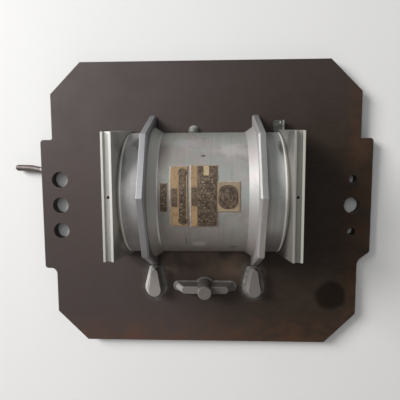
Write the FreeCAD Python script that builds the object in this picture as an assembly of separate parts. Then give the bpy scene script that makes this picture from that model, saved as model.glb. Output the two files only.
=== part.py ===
"""Single-sided foundry pattern plate with a split pattern for a flanged cylindrical housing.

Millimetres, +Z up. The origin is on the underside of the steel plate, midway between the two
guide-pin holes. The pattern and its gating stand on the plate's top face.
"""
import FreeCAD
import Part
import math
import os
from collections import namedtuple

V = FreeCAD.Vector
X_AXIS = V(1, 0, 0)
Z_AXIS = V(0, 0, 1)

Screw = namedtuple("Screw", "shank_d head_d head_h socket_d socket_depth grip")

# ---------------------------------------------------------------- driving dimensions
# steel plate
plate_thickness = 16.0
body_depth = 435.0
corner_cut = 47.0
plate_edge_break = 0.8
ear_reach = 18.5
ear_top_y = 101.5
left_ear_foot_y = -100.5
right_ear_foot_y = -86.0
right_ear_foot_rise = 14.0
ear_tip_round = 5.0
ear_top_root_round = 3.0
left_ear_root_round = 9.0
right_ear_root_round = 14.0

# holes in the ears
guide_hole_spacing = 450.0
guide_hole_inset = 10.0
guide_hole_d = 25.0
ear_hole_pitch = 40.0
bolt_hole_d = 12.0

# pattern: a half cylinder lying on the plate, its axis along X at the plate's top face
pattern_y = 20.5
barrel_radius = 90.0
barrel_length = 144.0
flare_length = 11.5
flare_rise = 8.0
vent_hole_x = 1.0
vent_hole_angle = 36.3
vent_hole_d = 2.6
vent_hole_depth = 6.0

# octagonal flanges, one against each end of the barrel
flange_corner_radius = 116.2
flange_sides_above_plate = 4
flange_thickness = 10.0
flange_inner_bevel = 2.2
flange_edge_break = 0.7

# hubs outside the flanges
hub_radius = 90.0
hub_length = 27.0
hub_rim_fall = 5.0

# core-print plates at the two ends
print_thickness_top = 13.3
print_height = 103.9
print_half_width_top = 82.9
print_side_draft = 6.0
print_face_draft = 2.7
print_edge_break = 0.6
groove_depth = 5.5
ridge_width = 2.8
groove_wall_draft = 8.0
groove_hole_d = 3.6
groove_hole_depth = 12.0

# gating: sprue, runner, feeders and gates in front of the barrel
gating_x = 1.0
gating_y = -127.0
sprue_height = 36.0
sprue_base_d = 25.0
sprue_top_d = 20.5
sprue_ring_d = 31.0
sprue_ring_height = 3.2
sprue_ring_bevel = 1.6
sprue_top_round = 1.2
sprue_centre_d = 2.6
runner_height = 22.0
runner_base_length = 96.0
runner_base_width = 13.0
runner_top_length = 70.0
runner_top_width = 10.4
feeder_inset = 1.0
feeder_height = 20.0
feeder_length = 28.0
feeder_neck_gap = 5.2
feeder_base_r = 13.0
feeder_top_r = 9.2
feeder_neck_base_r = 6.6
feeder_neck_top_r = 4.6
gate_width = 9.0
gate_height = 8.0

# hand-laid filler beads along the feet of the gating
bead_width = 4.5
bead_height = 3.6
bead_lip = 0.4
runner_bead_width = 2.0
runner_bead_height = 2.8

# small bosses on the far side of the pattern
far_boss_x = -15.0
far_boss_reach = 11.5
far_boss_radius = 9.0
far_boss_height = 6.5
far_boss_stem_d = 5.0
far_boss_stem_length = 10.0
lug_beyond_hub = 2.0
lug_beyond_foot = 3.2
lug_length = 19.0
lug_width = 15.4
lug_height = 14.0
lug_round = 2.0

# marking plates soldered round the barrel: X from, X to, lowest and highest angle from the top
marking_thickness = 1.2
solder_film = 0.15
strip_x = (-54.7, -47.0)
strip_angles = (-12.0, 10.8)
bar_plate_x = (-41.2, -20.0)
bar_plate_angles = (-25.0, 25.3)
block_plate_x = (-14.6, 18.6)
block_plate_angles = (-25.6, 26.2)
disc_plate_x = (19.3, 47.9)
disc_plate_angles = (-11.9, 11.8)

# bent lifting rod in the left edge of the plate
rod_d = 9.6
rod_root_depth = 9.5
rod_edge_y = 54.5
rod_slope = 11.5
rod_bend_run = 19.5
rod_tip_run = 20.0
rod_tip_slope = 1.5
rod_bend_radius = 34.0
weld_length = 4.2
weld_rise = 2.0

# fasteners, all entered from the underside
large_screw_d = 8.0
large_screw_grip = 18.0
medium_screw_d = 6.0
medium_screw_grip = 12.0
small_screw_d = 4.0
small_screw_grip = 8.0
cap_head_ratio = 1.5
cap_head_extra = 1.0
cap_socket_ratio = 0.75
head_recess = 1.0
head_side_gap = 0.8
shank_gap = 0.4
thread_gap = 0.04
tap_overrun = 3.0
dowel_d = 6.0
dowel_grip = 12.0
dowel_recess = 3.0
dowel_gap = 0.02
dowel_chamfer = 0.6
foot_screw_inset = 9.0
barrel_screw_x = 40.0
flange_screw_inset = 15.0
print_screw_y = 60.0
print_dowel_y = 30.0
runner_screw_x = 31.0

# how far a cutting tool runs on past the face that it opens
overcut = 1.0

# ---------------------------------------------------------------- worked-out places
half_guide = guide_hole_spacing / 2
half_width = half_guide + guide_hole_inset
half_depth = body_depth / 2
half_barrel = barrel_length / 2
flange_outer_x = half_barrel + flange_thickness
hub_outer_x = flange_outer_x + hub_length
plate_top = plate_thickness
print_lean = print_height * math.tan(math.radians(print_face_draft))
print_spread = print_height * math.tan(math.radians(print_side_draft))
print_inner_top_x = hub_outer_x + print_lean
print_mid_x = print_inner_top_x + print_thickness_top / 2
foot_y = barrel_radius - foot_screw_inset
hub_mid_x = flange_outer_x + hub_length / 2
flange_mid_x = half_barrel + flange_thickness / 2
flange_screw_y = flange_corner_radius - flange_screw_inset
feeder_x = flange_mid_x - feeder_inset
feeder_neck_y = pattern_y - flange_corner_radius - feeder_neck_gap
feeder_y = feeder_neck_y - feeder_length
far_boss_y = pattern_y + barrel_radius + far_boss_reach - far_boss_radius
far_boss_stem_y = pattern_y + barrel_radius + far_boss_reach / 2
lug_x = hub_outer_x + lug_beyond_hub
lug_y = pattern_y + max(hub_radius, print_half_width_top + print_spread) + lug_beyond_foot


def cap_screw(shank_d, grip):
    """Standard socket cap screw: its head is as high as its shank is thick."""
    head_d = shank_d * cap_head_ratio + cap_head_extra
    return Screw(shank_d, head_d, shank_d, shank_d * cap_socket_ratio, shank_d / 2, grip)


large_screw = cap_screw(large_screw_d, large_screw_grip)
medium_screw = cap_screw(medium_screw_d, medium_screw_grip)
small_screw = cap_screw(small_screw_d, small_screw_grip)


# ---------------------------------------------------------------- outlines and basic solids
def unit(vector):
    """The vector at length 1."""
    result = V(vector)
    result.normalize()
    return result


def rounded_outline(corners, z):
    """Closed wire at height z through (x, y, radius) corners, each corner turned by a tangent arc."""
    edges = []
    starts = []
    ends = []
    count = len(corners)
    for i in range(count):
        x, y, radius = corners[i]
        corner = V(x, y, z)
        before = V(corners[i - 1][0], corners[i - 1][1], z)
        after = V(corners[(i + 1) % count][0], corners[(i + 1) % count][1], z)
        back = unit(before - corner)
        ahead = unit(after - corner)
        half_angle = back.getAngle(ahead) / 2
        reach = radius / math.tan(half_angle)
        first = corner + back * reach
        last = corner + ahead * reach
        starts.append(first)
        ends.append(last)
        if radius > 0:
            bisector = unit(back + ahead)
            middle = corner + bisector * (radius / math.sin(half_angle) - radius)
            edges.append(Part.Arc(first, middle, last).toShape())
        else:
            edges.append(None)
    loop = []
    for i in range(count):
        if edges[i] is not None:
            loop.append(edges[i])
        loop.append(Part.LineSegment(ends[i], starts[(i + 1) % count]).toShape())
    return Part.Wire(loop)


def capsule_outline(x0, x1, y, r0, r1, z, along_y=False):
    """Wire round two circles of radius r0 at x0 and r1 at x1, joined by their common tangents."""
    lean = (r0 - r1) / abs(x1 - x0)
    way = 1 if x1 > x0 else -1

    def point(centre, radius, across, side):
        p = V(centre + way * radius * across, y + side * radius * math.sqrt(1 - across ** 2), z)
        return V(p.y, p.x, z) if along_y else p

    near = [point(x0, r0, lean, side) for side in (1, -1)]
    far = [point(x1, r1, lean, side) for side in (1, -1)]
    near_tip = point(x0, r0, -1, 0)
    far_tip = point(x1, r1, 1, 0)
    return Part.Wire([
        Part.Arc(near[0], near_tip, near[1]).toShape(),
        Part.LineSegment(near[1], far[1]).toShape(),
        Part.Arc(far[1], far_tip, far[0]).toShape(),
        Part.LineSegment(far[0], near[0]).toShape(),
    ])


def box(x0, x1, y0, y1, z0, z1):
    """Box between two corners."""
    return Part.makeBox(x1 - x0, y1 - y0, z1 - z0, V(x0, y0, z0))


def upright(radius, x, y, z0, z1):
    """Vertical cylinder from z0 to z1."""
    return Part.makeCylinder(radius, z1 - z0, V(x, y, z0), Z_AXIS)


def half_turn(profile):
    """Upper half of the solid that an (x, radius) profile makes round the pattern's axis."""
    points = [V(x, pattern_y + r, plate_top) for x, r in profile]
    face = Part.Face(Part.makePolygon(points + points[:1]))
    return face.revolve(V(0, pattern_y, plate_top), X_AXIS, 180)


def mirror_x(shape):
    """The same shape on the other side of the plate's centre line."""
    return shape.mirror(V(0, 0, 0), X_AXIS)


def placed(shape, side):
    """A right-hand piece as it stands, or its mirror image on the left."""
    return shape if side > 0 else mirror_x(shape)


def both_sides(points):
    """Each (x, y) point and its mirror image across the centre line."""
    return [(side * x, y) for x, y in points for side in (-1, 1)]


def cut_all(shape, tools):
    """The shape with every tool cut out of it in one step."""
    return shape.cut(Part.makeCompound(tools)) if tools else shape


# ---------------------------------------------------------------- where the fasteners go
barrel_screw_points = [(side * barrel_screw_x, pattern_y + end * foot_y)
                       for side in (-1, 1) for end in (-1, 1)]
barrel_dowel_points = [(0, pattern_y + end * foot_y) for end in (-1, 1)]
hub_screw_points = [(side * hub_mid_x, pattern_y + end * foot_y)
                    for side in (-1, 1) for end in (-1, 1)]
flange_screw_points = [(side * flange_mid_x, pattern_y + end * flange_screw_y)
                       for side in (-1, 1) for end in (-1, 1)]
print_screw_points = [(side * print_mid_x, pattern_y + end * print_screw_y)
                      for side in (-1, 1) for end in (-1, 1)]
print_dowel_points = [(side * print_mid_x, pattern_y + end * print_dowel_y)
                      for side in (-1, 1) for end in (-1, 1)]
sprue_screw_points = [(gating_x, gating_y)]
runner_screw_points = [(gating_x + side * runner_screw_x, gating_y) for side in (-1, 1)]
feeder_screw_points = both_sides([(feeder_x, feeder_y)])
lug_screw_points = [(lug_x, lug_y)]

screw_groups = {
    "barrel_screws": (large_screw, barrel_screw_points),
    "hub_screws": (large_screw, hub_screw_points),
    "flange_screws": (small_screw, flange_screw_points),
    "core_print_screws": (large_screw, print_screw_points),
    "sprue_screw": (large_screw, sprue_screw_points),
    "runner_screws": (medium_screw, runner_screw_points),
    "feeder_screws": (medium_screw, feeder_screw_points),
    "lug_screw": (small_screw, lug_screw_points),
}
dowel_groups = {
    "barrel_dowels": barrel_dowel_points,
    "core_print_dowels": print_dowel_points,
}


def screw_seat(screw):
    """Height of the shoulder that a screw's head bears on, above the underside."""
    return head_recess + screw.head_h


def socket_screw(screw, x, y):
    """Cap screw, head down in its counterbore, with a hexagon socket in the head."""
    seat = screw_seat(screw)
    head = upright(screw.head_d / 2, x, y, head_recess, seat)
    shank = upright(screw.shank_d / 2, x, y, seat, plate_top + screw.grip)
    corners = [V(x + screw.socket_d / 2 * math.cos(math.radians(a)),
                 y + screw.socket_d / 2 * math.sin(math.radians(a)), head_recess)
               for a in range(0, 360, 60)]
    socket = Part.Face(Part.makePolygon(corners + corners[:1])).extrude(V(0, 0, screw.socket_depth))
    return head.fuse(shank).removeSplitter().cut(socket)


def plate_screw_holes(screw, points):
    """Clearance holes and counterbores for a group of screws."""
    tools = []
    for x, y in points:
        tools.append(upright(screw.head_d / 2 + head_side_gap, x, y, 0, screw_seat(screw)))
        tools.append(upright(screw.shank_d / 2 + shank_gap, x, y, 0, plate_top))
    return tools


def tapped_holes(screw, points):
    """Blind holes that a group of screws is threaded into, up from the plate's top face."""
    radius = screw.shank_d / 2 + thread_gap
    return [upright(radius, x, y, plate_top, plate_top + screw.grip + tap_overrun) for x, y in points]


def dowel_pin(x, y):
    """Plain locating pin with chamfered ends."""
    pin = upright(dowel_d / 2, x, y, dowel_recess, plate_top + dowel_grip)
    rims = [edge for edge in pin.Edges if edge.Curve.TypeId == "Part::GeomCircle"]
    return pin.makeChamfer(dowel_chamfer, rims)


def dowel_holes(points, z0, z1):
    """Reamed holes for a group of dowel pins."""
    return [upright(dowel_d / 2 + dowel_gap, x, y, z0, z1) for x, y in points]


def casting_dowel_holes(points):
    """The upper halves of the dowel holes, in a casting."""
    return dowel_holes(points, plate_top, plate_top + dowel_grip + tap_overrun)


# ---------------------------------------------------------------- the steel plate
def plate_outline():
    """Corner-cut rectangle with an ear on each side; the right ear's foot runs in at a slope."""
    left, right = -half_width, half_width
    left_tip, right_tip = left - ear_reach, right + ear_reach
    return [
        (left + corner_cut, -half_depth, 0),
        (right - corner_cut, -half_depth, ear_tip_round),
        (right, -half_depth + corner_cut, ear_tip_round),
        (right, right_ear_foot_y, right_ear_root_round),
        (right_tip, right_ear_foot_y + right_ear_foot_rise, ear_tip_round),
        (right_tip, ear_top_y, ear_tip_round),
        (right, ear_top_y, 0),
        (right, half_depth - corner_cut, 0),
        (right - corner_cut, half_depth, 0),
        (left + corner_cut, half_depth, 0),
        (left, half_depth - corner_cut, 0),
        (left, ear_top_y, ear_top_root_round),
        (left_tip, ear_top_y, ear_tip_round),
        (left_tip, left_ear_foot_y, ear_tip_round),
        (left, left_ear_foot_y, left_ear_root_round),
        (left, -half_depth + corner_cut, 0),
    ]


def ear_hole_tools():
    """Guide-pin holes, three in the left ear and one in the right, and the right ear's bolt holes."""
    tools = [upright(guide_hole_d / 2, -half_guide, step * ear_hole_pitch, 0, plate_top)
             for step in (-1, 0, 1)]
    tools.append(upright(guide_hole_d / 2, half_guide, 0, 0, plate_top))
    for step in (-1, 1):
        tools.append(upright(bolt_hole_d / 2, half_guide, step * ear_hole_pitch, 0, plate_top))
    return tools


def pattern_plate():
    """Flame-cut and ground steel plate with every hole that goes through it."""
    blank = Part.Face(rounded_outline(plate_outline(), 0)).extrude(V(0, 0, plate_thickness))
    rims = [edge for edge in blank.Edges if edge.BoundBox.ZLength < plate_edge_break]
    plate = blank.makeChamfer(plate_edge_break, rims)
    tools = ear_hole_tools()
    for screw, points in screw_groups.values():
        tools += plate_screw_holes(screw, points)
    for points in dowel_groups.values():
        tools += dowel_holes(points, 0, plate_top)
    stem_hole = upright(far_boss_stem_d / 2 + dowel_gap, far_boss_x, far_boss_stem_y, 0, plate_top)
    return cut_all(plate, tools + [stem_hole, rod_body(thread_gap)])


# ---------------------------------------------------------------- the pattern
def barrel():
    """Half cylinder that opens into a straight cone towards each flange; solid casting."""
    flare_start = half_barrel - flare_length
    rim = barrel_radius + flare_rise
    body = half_turn([
        (-half_barrel, 0),
        (-half_barrel, rim),
        (-flare_start, barrel_radius),
        (flare_start, barrel_radius),
        (half_barrel, rim),
        (half_barrel, 0),
    ])
    lean = math.radians(vent_hole_angle)
    outward = V(0, math.sin(lean), math.cos(lean))
    hole_floor = V(vent_hole_x, pattern_y, plate_top) + outward * (barrel_radius - vent_hole_depth)
    vent = Part.makeCylinder(vent_hole_d / 2, vent_hole_depth + overcut, hole_floor, outward)
    tools = tapped_holes(large_screw, barrel_screw_points) + casting_dowel_holes(barrel_dowel_points)
    return cut_all(body, tools + [vent])


def octagon_slab(x, length):
    """Upper half of an octagon, a corner on top and one on each side at the plate, drawn along X."""
    corners = []
    for i in range(flange_sides_above_plate + 1):
        turn = math.pi * i / flange_sides_above_plate
        corners.append(V(x, pattern_y + flange_corner_radius * math.cos(turn),
                         plate_top + flange_corner_radius * math.sin(turn)))
    return Part.Face(Part.makePolygon(corners + corners[:1])).extrude(V(length, 0, 0))


def rim_edges(body, x):
    """Edges round the octagon's face at x, without the one along the plate."""
    return [edge for edge in body.Edges
            if edge.BoundBox.XLength < flange_edge_break
            and abs(edge.BoundBox.Center.x - x) < flange_edge_break
            and edge.BoundBox.ZMax > plate_top + flange_edge_break]


def flange(side):
    """Octagonal end flange, its rim bevelled towards the barrel and broken towards the hub."""
    inner_x = side * half_barrel
    outer_x = side * flange_outer_x
    body = octagon_slab(inner_x, outer_x - inner_x)
    body = body.makeChamfer(flange_inner_bevel, rim_edges(body, inner_x))
    body = body.makeChamfer(flange_edge_break, rim_edges(body, outer_x))
    return cut_all(body, tapped_holes(small_screw, [p for p in flange_screw_points if p[0] * side > 0]))


def hub(side):
    """Half cylinder outside a flange, its rim bevelled down to the leaning face of its core print."""
    body = half_turn([
        (flange_outer_x, 0),
        (flange_outer_x, hub_radius),
        (hub_outer_x, hub_radius),
        (print_inner_top_x, hub_radius - hub_rim_fall),
        (print_inner_top_x, 0),
    ])
    body = placed(body.cut(print_blank()), side)
    return cut_all(body, tapped_holes(large_screw, [p for p in hub_screw_points if p[0] * side > 0]))


def print_section(z, inner_x, outer_x, half_y):
    """Rectangle of the core print at height z."""
    corners = [V(inner_x, pattern_y - half_y, z), V(outer_x, pattern_y - half_y, z),
               V(outer_x, pattern_y + half_y, z), V(inner_x, pattern_y + half_y, z)]
    return Part.makePolygon(corners + corners[:1])


def groove_tool():
    """Drafted channel along the top of the core print, open at both ends."""
    lean = groove_depth * math.tan(math.radians(groove_wall_draft))
    half_top = print_thickness_top / 2 - ridge_width
    top = plate_top + print_height
    profile = [V(print_mid_x - half_top, 0, top), V(print_mid_x + half_top, 0, top),
               V(print_mid_x + half_top - lean, 0, top - groove_depth),
               V(print_mid_x - half_top + lean, 0, top - groove_depth)]
    face = Part.Face(Part.makePolygon(profile + profile[:1]))
    reach = print_half_width_top + print_spread
    channel = face.extrude(V(0, 2 * reach, 0))
    channel.translate(V(0, pattern_y - reach, 0))
    floor = top - groove_depth
    hole = upright(groove_hole_d / 2, print_mid_x, pattern_y, floor - groove_hole_depth, floor + overcut)
    return channel.fuse(hole)


def print_blank():
    """Right-hand core print before its groove: an upright plate drafted on all four sides."""
    base = print_section(plate_top, print_inner_top_x - print_lean,
                         print_inner_top_x + print_thickness_top + print_lean,
                         print_half_width_top + print_spread)
    top = print_section(plate_top + print_height, print_inner_top_x,
                        print_inner_top_x + print_thickness_top, print_half_width_top)
    body = Part.makeLoft([base, top], True, True)
    uprights = [edge for edge in body.Edges if edge.BoundBox.ZLength > print_height / 2]
    return body.makeFillet(print_edge_break, uprights)


def core_print(side):
    """Core print with a groove between two ridges along its top."""
    body = placed(print_blank().cut(groove_tool()), side)
    screws = [p for p in print_screw_points if p[0] * side > 0]
    dowels = [p for p in print_dowel_points if p[0] * side > 0]
    return cut_all(body, tapped_holes(large_screw, screws) + casting_dowel_holes(dowels))


# ---------------------------------------------------------------- gating
def sprue_profile():
    """(radius, height) points of the sprue: foot ring, tapered post."""
    post_foot = sprue_base_d / 2
    top = sprue_top_d / 2
    return [
        (0, 0),
        (sprue_ring_d / 2, 0),
        (sprue_ring_d / 2, sprue_ring_height - sprue_ring_bevel),
        (sprue_ring_d / 2 - sprue_ring_bevel, sprue_ring_height),
        (post_foot, sprue_ring_height),
        (top, sprue_height - sprue_top_round),
        (top - sprue_top_round, sprue_height),
        (0, sprue_height),
    ]


def sprue_blank():
    """The sprue before its centre mark and thread."""
    points = [V(gating_x + r, gating_y, plate_top + h) for r, h in sprue_profile()]
    face = Part.Face(Part.makePolygon(points + points[:1]))
    return face.revolve(V(gating_x, gating_y, 0), Z_AXIS, 360)


def sprue():
    """Turned sprue post with a lathe centre mark on top."""
    mark_r = sprue_centre_d / 2
    top = plate_top + sprue_height
    mark = Part.makeCone(0, mark_r, mark_r, V(gating_x, gating_y, top - mark_r), Z_AXIS)
    return sprue_blank().cut(mark).cut(tapped_holes(large_screw, sprue_screw_points)[0])


def runner_outline(length, width, z):
    """Round-ended bar outline centred on the sprue."""
    half = length / 2 - width / 2
    return capsule_outline(gating_x - half, gating_x + half, gating_y, width / 2, width / 2, z)


def runner_bar():
    """Runner with sides and ends sloping in towards its narrow top."""
    base = runner_outline(runner_base_length, runner_base_width, plate_top)
    top = runner_outline(runner_top_length, runner_top_width, plate_top + runner_height)
    return Part.makeLoft([base, top], True, True)


def runner(side):
    """One arm of the runner, its inner end scribed to the sprue."""
    reach = runner_base_length
    x0, x1 = sorted((gating_x, gating_x + side * reach))
    keep = box(x0, x1, gating_y - reach, gating_y + reach, plate_top, plate_top + reach)
    arm = runner_bar().common(keep).cut(sprue_blank())
    points = [p for p in runner_screw_points if (p[0] - gating_x) * side > 0]
    return cut_all(arm, tapped_holes(medium_screw, points))


def feeder_outline(grow, base, z):
    """Teardrop of the feeder at its base or top, widened by grow."""
    body_r = (feeder_base_r if base else feeder_top_r) + grow
    neck_r = (feeder_neck_base_r if base else feeder_neck_top_r) + grow
    return capsule_outline(feeder_y, feeder_neck_y, feeder_x, body_r, neck_r, z, along_y=True)


def feeder_blank():
    """Teardrop feeder lofted from its wide foot to its narrower flat top."""
    return Part.makeLoft([feeder_outline(0, True, plate_top),
                          feeder_outline(0, False, plate_top + feeder_height)], True, True)


def flange_shadow():
    """The flange's octagon drawn out over the feeder's whole width: what stops against its slope."""
    reach = feeder_base_r + bead_width
    return octagon_slab(feeder_x - reach, 2 * reach)


def gate_blank():
    """Low bar from inside the feeder's neck to inside the flange's sloping rim."""
    half = gate_width / 2
    return box(feeder_x - half, feeder_x + half, feeder_neck_y, pattern_y - barrel_radius,
               plate_top, plate_top + gate_height)


def feeder(side):
    """Feeder, its neck scribed to the flange's slope, with the thread for its screw."""
    body = placed(feeder_blank().cut(flange_shadow()), side)
    return cut_all(body, tapped_holes(medium_screw, [p for p in feeder_screw_points if p[0] * side > 0]))


def gate(side):
    """Gate scribed to the feeder's neck at one end and to the flange's slope at the other."""
    return placed(gate_blank().cut(feeder_blank()).cut(flange_shadow()), side)


def feeder_bead(side):
    """Filler bead round the foot of a feeder, thin at its lip, stopped at the flange."""
    skirt = Part.makeLoft([feeder_outline(bead_width, True, plate_top),
                           feeder_outline(bead_lip, True, plate_top + bead_height)], True, True)
    return placed(skirt.cut(feeder_blank()).cut(gate_blank()).cut(flange_shadow()), side)


def runner_bead():
    """Filler bead along both sides of the runner and round its ends, broken by the sprue."""
    grown = 2 * runner_bead_width
    skirt = Part.makeLoft([
        runner_outline(runner_base_length + grown, runner_base_width + grown, plate_top),
        runner_outline(runner_base_length + bead_lip, runner_base_width + bead_lip,
                       plate_top + runner_bead_height)], True, True)
    return skirt.cut(runner_bar()).cut(sprue_blank())


# ---------------------------------------------------------------- small far-side pieces
def far_boss():
    """Low domed boss against the far foot of the barrel, on a stem let into the plate."""
    ball_r = (far_boss_radius ** 2 + far_boss_height ** 2) / (2 * far_boss_height)
    centre = V(far_boss_x, far_boss_y, plate_top + far_boss_height - ball_r)
    ball = Part.makeSphere(ball_r, centre)
    above = box(far_boss_x - ball_r, far_boss_x + ball_r, far_boss_y - ball_r, far_boss_y + ball_r,
                plate_top, plate_top + ball_r)
    dome = ball.common(above).cut(barrel())
    stem = upright(far_boss_stem_d / 2, far_boss_x, far_boss_stem_y,
                   plate_top - far_boss_stem_length, plate_top)
    return dome.fuse(stem)


def locating_lug():
    """Small round-edged lug behind the right core print."""
    half_x, half_y = lug_width / 2, lug_length / 2
    corners = [(lug_x - half_x, lug_y - half_y, lug_round), (lug_x + half_x, lug_y - half_y, lug_round),
               (lug_x + half_x, lug_y + half_y, lug_round), (lug_x - half_x, lug_y + half_y, lug_round)]
    block = Part.Face(rounded_outline(corners, plate_top)).extrude(V(0, 0, lug_height))
    block = block.cut(core_print(1)).cut(hub(1))
    return cut_all(block, tapped_holes(small_screw, lug_screw_points))


# ---------------------------------------------------------------- marking plates on the barrel
def curved_plate(x_range, angles):
    """Thin brass sheet rolled to the barrel over a solder film, between two angles from the top."""
    x0, x1 = x_range
    low, high = angles
    inner = barrel_radius + solder_film
    outer = barrel_radius + marking_thickness
    points = [V(x0, pattern_y, plate_top + inner), V(x1, pattern_y, plate_top + inner),
              V(x1, pattern_y, plate_top + outer), V(x0, pattern_y, plate_top + outer)]
    face = Part.Face(Part.makePolygon(points + points[:1]))
    face.rotate(V(0, pattern_y, plate_top), X_AXIS, -high)
    return face.revolve(V(0, pattern_y, plate_top), X_AXIS, high - low)


# ---------------------------------------------------------------- lifting rod
def rod_path():
    """Centre line of the rod: out of the plate's edge at a slope, one bend, a straight tip."""
    out = V(-math.cos(math.radians(rod_slope)), math.sin(math.radians(rod_slope)), 0)
    tip_way = V(-math.cos(math.radians(rod_tip_slope)), math.sin(math.radians(rod_tip_slope)), 0)
    edge_point = V(-half_width - ear_reach, rod_edge_y, plate_thickness / 2)
    root = edge_point - out * rod_root_depth
    bend = edge_point + out * rod_bend_run
    tip = bend + tip_way * rod_tip_run
    half_turn_angle = (rod_slope - rod_tip_slope) / 2
    trim = rod_bend_radius * math.tan(math.radians(half_turn_angle))
    first, last = bend - out * trim, bend + tip_way * trim
    inward = unit(tip_way - out)
    sagitta = rod_bend_radius / math.cos(math.radians(half_turn_angle)) - rod_bend_radius
    middle = bend + inward * sagitta
    wire = Part.Wire([
        Part.LineSegment(root, first).toShape(),
        Part.Arc(first, middle, last).toShape(),
        Part.LineSegment(last, tip).toShape(),
    ])
    return wire, root, edge_point, out, tip


def rod_body(grow=0.0):
    """Bent round rod with a domed tip; grow widens it, for the hole that it sits in."""
    wire, root, _, out, tip = rod_path()
    radius = rod_d / 2 + grow
    section = Part.Wire([Part.makeCircle(radius, root, out)])
    swept = wire.makePipeShell([section], True, False)
    return swept.fuse(Part.makeSphere(radius, tip)).removeSplitter()


def rod_weld():
    """Weld bead round the rod where it leaves the edge of the plate."""
    _, _, edge_point, out, _ = rod_path()
    radius = rod_d / 2
    start = edge_point - out * weld_rise
    bead = Part.makeCone(radius + weld_rise, radius + bead_lip, weld_length + weld_rise, start, out)
    edge_x = -half_width - ear_reach
    inside = box(edge_x, edge_x + rod_d, rod_edge_y - rod_d, rod_edge_y + rod_d,
                 plate_thickness / 2 - rod_d, plate_thickness / 2 + rod_d)
    return bead.cut(inside).cut(rod_body())


# ---------------------------------------------------------------- nodes
def build():
    """Every piece of the pattern plate by name."""
    nodes = {
        "pattern_plate": pattern_plate(),
        "barrel": barrel(),
        "flange_left": flange(-1),
        "flange_right": flange(1),
        "hub_left": hub(-1),
        "hub_right": hub(1),
        "core_print_left": core_print(-1),
        "core_print_right": core_print(1),
        "sprue": sprue(),
        "runner_left": runner(-1),
        "runner_right": runner(1),
        "feeder_left": feeder(-1),
        "feeder_right": feeder(1),
        "gate_left": gate(-1),
        "gate_right": gate(1),
        "feeder_bead_left": feeder_bead(-1),
        "feeder_bead_right": feeder_bead(1),
        "runner_bead": runner_bead(),
        "far_boss": far_boss(),
        "locating_lug": locating_lug(),
        "marking_strip": curved_plate(strip_x, strip_angles),
        "marking_bar_plate": curved_plate(bar_plate_x, bar_plate_angles),
        "marking_block_plate": curved_plate(block_plate_x, block_plate_angles),
        "marking_disc_plate": curved_plate(disc_plate_x, disc_plate_angles),
        "lifting_rod": rod_body(),
        "rod_weld": rod_weld(),
    }
    for name, (screw, points) in screw_groups.items():
        nodes[name] = Part.makeCompound([socket_screw(screw, x, y) for x, y in points])
    for name, points in dowel_groups.items():
        nodes[name] = Part.makeCompound([dowel_pin(x, y) for x, y in points])
    return nodes


os.makedirs("parts", exist_ok=True)
for name, shape in build().items():
    shape.exportStep("parts/" + name + ".step")
    print(name, len(shape.Solids), "solids", round(shape.Volume / 1000, 2), "cm3", shape.isValid())
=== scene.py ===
"""Looks of the foundry pattern plate: finishes, relief on the brass plates, camera and light.

Metres, +Z up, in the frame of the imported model. Angles on the barrel are degrees from its top,
positive towards +Y. Colours are linear red, green and blue.
"""
import math

import bmesh
import bpy
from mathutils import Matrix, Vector


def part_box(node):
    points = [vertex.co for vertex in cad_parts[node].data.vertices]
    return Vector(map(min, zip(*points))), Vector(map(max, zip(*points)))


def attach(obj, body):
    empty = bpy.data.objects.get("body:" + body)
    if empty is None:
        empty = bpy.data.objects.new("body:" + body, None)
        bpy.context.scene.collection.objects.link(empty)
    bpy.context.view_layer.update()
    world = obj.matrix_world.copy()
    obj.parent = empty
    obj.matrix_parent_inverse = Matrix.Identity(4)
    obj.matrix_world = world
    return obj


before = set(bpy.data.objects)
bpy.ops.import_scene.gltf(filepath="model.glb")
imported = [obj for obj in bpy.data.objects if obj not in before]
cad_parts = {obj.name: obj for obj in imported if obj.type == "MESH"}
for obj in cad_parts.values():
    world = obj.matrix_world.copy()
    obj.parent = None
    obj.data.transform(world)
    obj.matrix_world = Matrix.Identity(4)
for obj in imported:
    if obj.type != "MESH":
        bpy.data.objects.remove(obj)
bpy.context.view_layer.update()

# ---------------------------------------------------------------- sizes read from the frame
plate_low, plate_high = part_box("pattern_plate")
barrel_low, barrel_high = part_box("barrel")
plate_top = plate_high.z
pattern_y = (barrel_low.y + barrel_high.y) / 2
plate_face_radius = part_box("marking_block_plate")[1].z - plate_top
hub_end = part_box("core_print_right")[0].x
print_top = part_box("core_print_right")[1].z
print_mid_x = (hub_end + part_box("core_print_right")[1].x) / 2
feeder_boxes = {side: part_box("feeder_" + side) for side in ("left", "right")}

# lengths along X of the barrel's flares and the flanges' bevels, which no box shows
flare_length = 0.0115
flange_bevel = 0.0022
flare_start = barrel_high.x - flare_length
flange_bevel_end = barrel_high.x + flange_bevel

# ---------------------------------------------------------------- sizes and colours of the looks
edge_rounding = 0.0005
floor_gap = 0.0003
floor_width = 6.0

# the plate's oil spot, and the haze of filler round a line through each feeder: whole within
# haze_inner, gone past haze_outer, and its line stops haze_inset short of the feeder's ends
oil_spot = (0.197, -0.142)
haze_inner = 0.013
haze_outer = 0.024
haze_inset = 0.011

# painted shade for the walls and sides of the gating that face away from the light
painted_wall_shade = (0.07, 0.072, 0.064)
painted_side_shade = (0.13, 0.134, 0.118)

# faces that can be given painted light and shade by the way they turn: the normal's axis, its
# values where the painted colour starts and is whole, and how strongly it covers
FACES = {
    "level": (2, 0.80, 0.97, 0.85),
    "far": (1, 0.30, 0.70, 0.9),
    "left": (0, -0.20, -0.60, 0.9),
    "right": (0, 0.12, 0.40, 0.9),
}

# relief on the brass plates: how deep its foot goes into the brass
root_sink = 0.0002
# pads: length of a step along them, and as shares how far their sides lean in for their height,
# how high their end rows are and how narrow these may get
pad_step = 0.003
pad_slope = 0.6
pad_end_lift = 0.4
pad_end_width = 0.12
ring_steps = 36
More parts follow.
